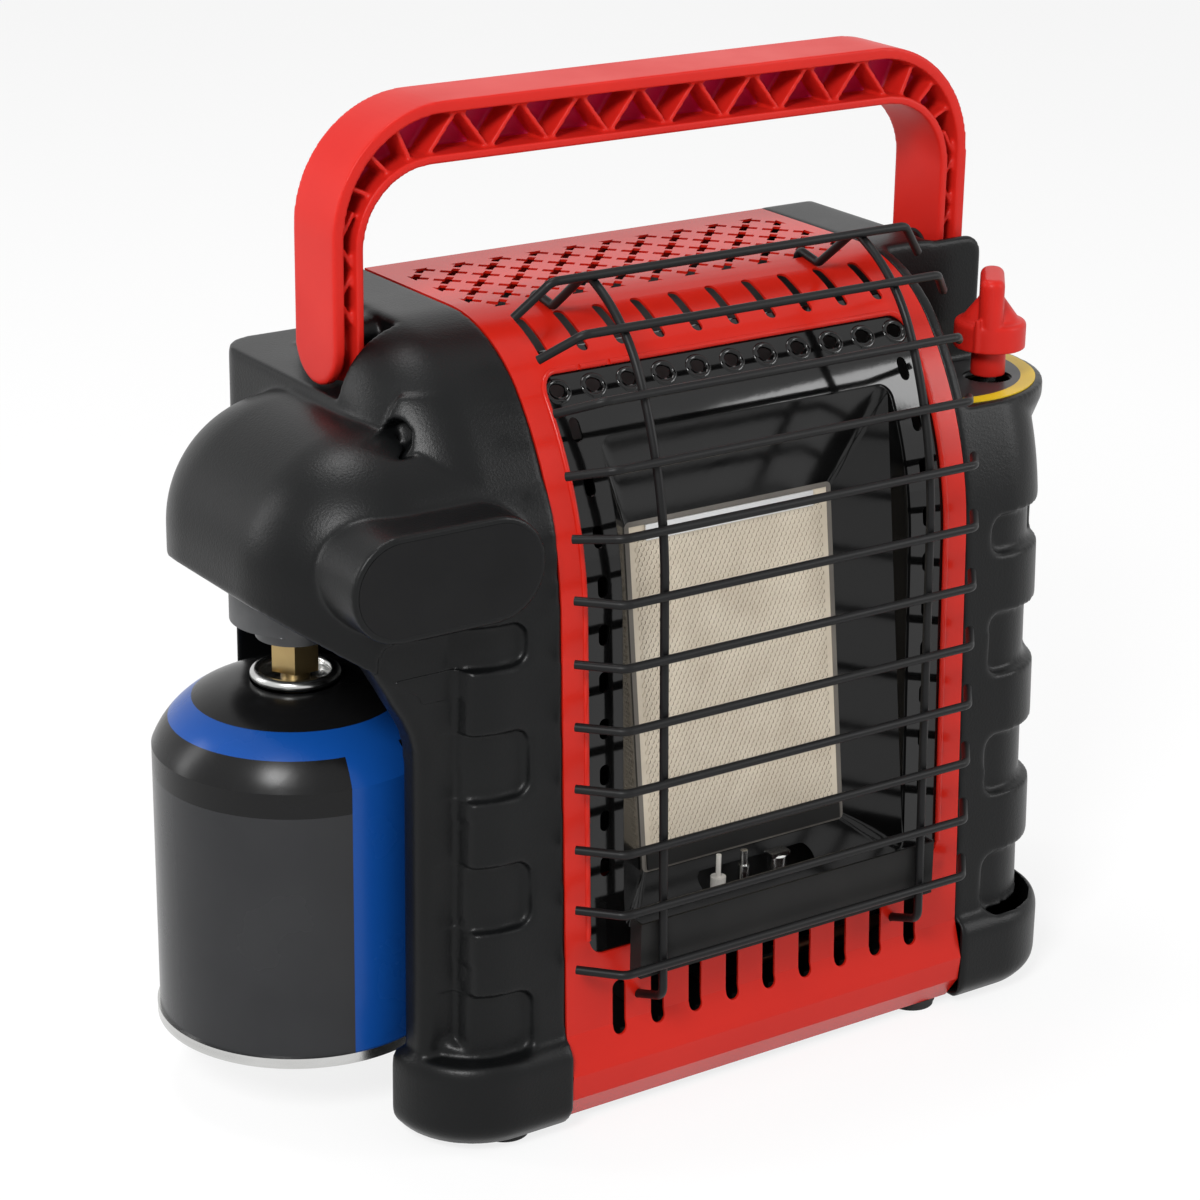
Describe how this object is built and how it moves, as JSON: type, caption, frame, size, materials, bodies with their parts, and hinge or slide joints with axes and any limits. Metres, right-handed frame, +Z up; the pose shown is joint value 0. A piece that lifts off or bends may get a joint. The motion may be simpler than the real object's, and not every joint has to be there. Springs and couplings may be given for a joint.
{
  "type": "portable propane heater",
  "caption": "Portable gas heater: ceramic radiant burner behind a wire guard, red steel wrap between black end caps, screw-on canister, push-and-turn knob and fold-down handle",
  "frame": {"origin": "centre of the overall box at floor level, under the rubber feet", "axes": "+Z up, -Y is the front with the burner, +X is the control knob's side"},
  "size_m": [0.3725, 0.1872, 0.377],
  "materials": {
    "badge_plate": "bare black plate",
    "base_pan": "zinc-plated steel",
    "burner_box": "pressed steel",
    "burner_tile": "perforated ceramic, buff",
    "burner_tube": "plain tube",
    "canister_base": "bright tinplate",
    "canister_body": "printed steel, charcoal with blue",
    "canister_collar": "black steel",
    "canister_valve": "turned brass",
    "cap_screw": "blackened steel",
    "control_knob": "satin red plastic",
    "dial_plate": "yellow and grey printed scale",
    "foot_screws": "zinc-plated",
    "front_shell": "gloss red powder coat",
    "gas_valve_body": "die-cast",
    "guard_crossbars": "black coated wire",
    "guard_plate": "black coated sheet",
    "guard_rods": "black coated wire",
    "handle": "satin red moulded plastic",
    "handle_pivots": "turned steel",
    "handle_washers": "nylon",
    "heat_deflector": "plain",
    "igniter_electrode": "ceramic",
    "inlet_nut": "turned brass",
    "jet_bracket": "pressed steel",
    "left_end_cap": "black satin moulded plastic",
    "left_side_panel": "zinc-plated steel",
    "orifice_holder": "turned brass",
    "panel_screws": "zinc-plated",
    "pilot_bracket": "pressed steel",
    "pilot_burner": "pressed steel",
    "pilot_tube": "plain tube",
    "rear_heat_shield": "plain",
    "rear_panel": "gloss red powder coat",
    "rear_panel_screws": "blackened steel",
    "reflector_pan": "gloss black enamel",
    "reflector_surround": "gloss black enamel",
    "regulator_body": "die-cast zinc",
    "regulator_bonnet": "pressed steel",
    "regulator_bracket": "pressed steel",
    "right_end_cap": "black satin moulded plastic",
    "right_side_panel": "zinc-plated steel",
    "rubber_feet": "black rubber",
    "supply_tube": "plain tube",
    "thermocouple": "copper and steel",
    "thermocouple_lead": "copper",
    "tile_clip_bottom": "heat-darkened steel",
    "tile_clip_top": "bright",
    "tile_gasket": "ceramic fibre",
    "tilt_switch": "black",
    "valve_bonnet": "turned brass",
    "valve_bracket": "pressed steel",
    "valve_plug": "turned brass",
    "valve_stem": "turned brass",
    "venturi_tube": "pressed steel"
  },
  "bodies": {
    "case": {"badge_plate": "badge_plate", "base_pan": "base_pan", "burner_box": "burner_box", "burner_tile": "burner_tile", "burner_tube": "burner_tube", "cap_screw": "cap_screw", "dial_plate": "dial_plate", "foot_screws": "foot_screws", "front_shell": "front_shell", "gas_valve_body": "gas_valve_body", "guard_crossbars": "guard_crossbars", "guard_plate": "guard_plate", "guard_rods": "guard_rods", "handle_pivots": "handle_pivots", "handle_washers": "handle_washers", "heat_deflector": "heat_deflector", "igniter_electrode": "igniter_electrode", "inlet_nut": "inlet_nut", "jet_bracket": "jet_bracket", "left_end_cap": "left_end_cap", "left_side_panel": "left_side_panel", "orifice_holder": "orifice_holder", "panel_screws": "panel_screws", "pilot_bracket": "pilot_bracket", "pilot_burner": "pilot_burner", "pilot_tube": "pilot_tube", "rear_heat_shield": "rear_heat_shield", "rear_panel": "rear_panel", "rear_panel_screws": "rear_panel_screws", "reflector_pan": "reflector_pan", "reflector_surround": "reflector_surround", "regulator_body": "regulator_body", "regulator_bonnet": "regulator_bonnet", "regulator_bracket": "regulator_bracket", "right_end_cap": "right_end_cap", "right_side_panel": "right_side_panel", "rubber_feet": "rubber_feet", "supply_tube": "supply_tube", "thermocouple": "thermocouple", "thermocouple_lead": "thermocouple_lead", "tile_clip_bottom": "tile_clip_bottom", "tile_clip_top": "tile_clip_top", "tile_gasket": "tile_gasket", "tilt_switch": "tilt_switch", "valve_bonnet": "valve_bonnet", "valve_bracket": "valve_bracket", "venturi_tube": "venturi_tube"},
    "handle_body": {"handle": "handle"},
    "plug": {"valve_plug": "valve_plug"},
    "knob": {"valve_stem": "valve_stem", "control_knob": "control_knob"},
    "canister": {"canister_body": "canister_body", "canister_base": "canister_base", "canister_collar": "canister_collar", "canister_valve": "canister_valve"}
  },
  "joints": [
    {"name": "handle_fold", "type": "hinge", "parent": "case", "child": "handle_body", "pos_m": [0.02125, 0.01782, 0.291], "axis": [1, 0, 0], "range_deg": [-90, 0]},
    {"name": "knob_turn", "type": "hinge", "parent": "case", "child": "plug", "pos_m": [0.15525, -0.02868, 0.23], "axis": [0, 0, 1], "range_deg": [0, 180]},
    {"name": "knob_push", "type": "slide", "parent": "plug", "child": "knob", "axis": [0, 0, -1], "range_m": [0, 0.005], "stiffness_N_per_m": 400, "springref_m": -0.003},
    {"name": "canister_lower", "type": "slide", "parent": "case", "child": "canister", "axis": [0, 0, -1], "range_m": [0, 0.026]}
  ]
}
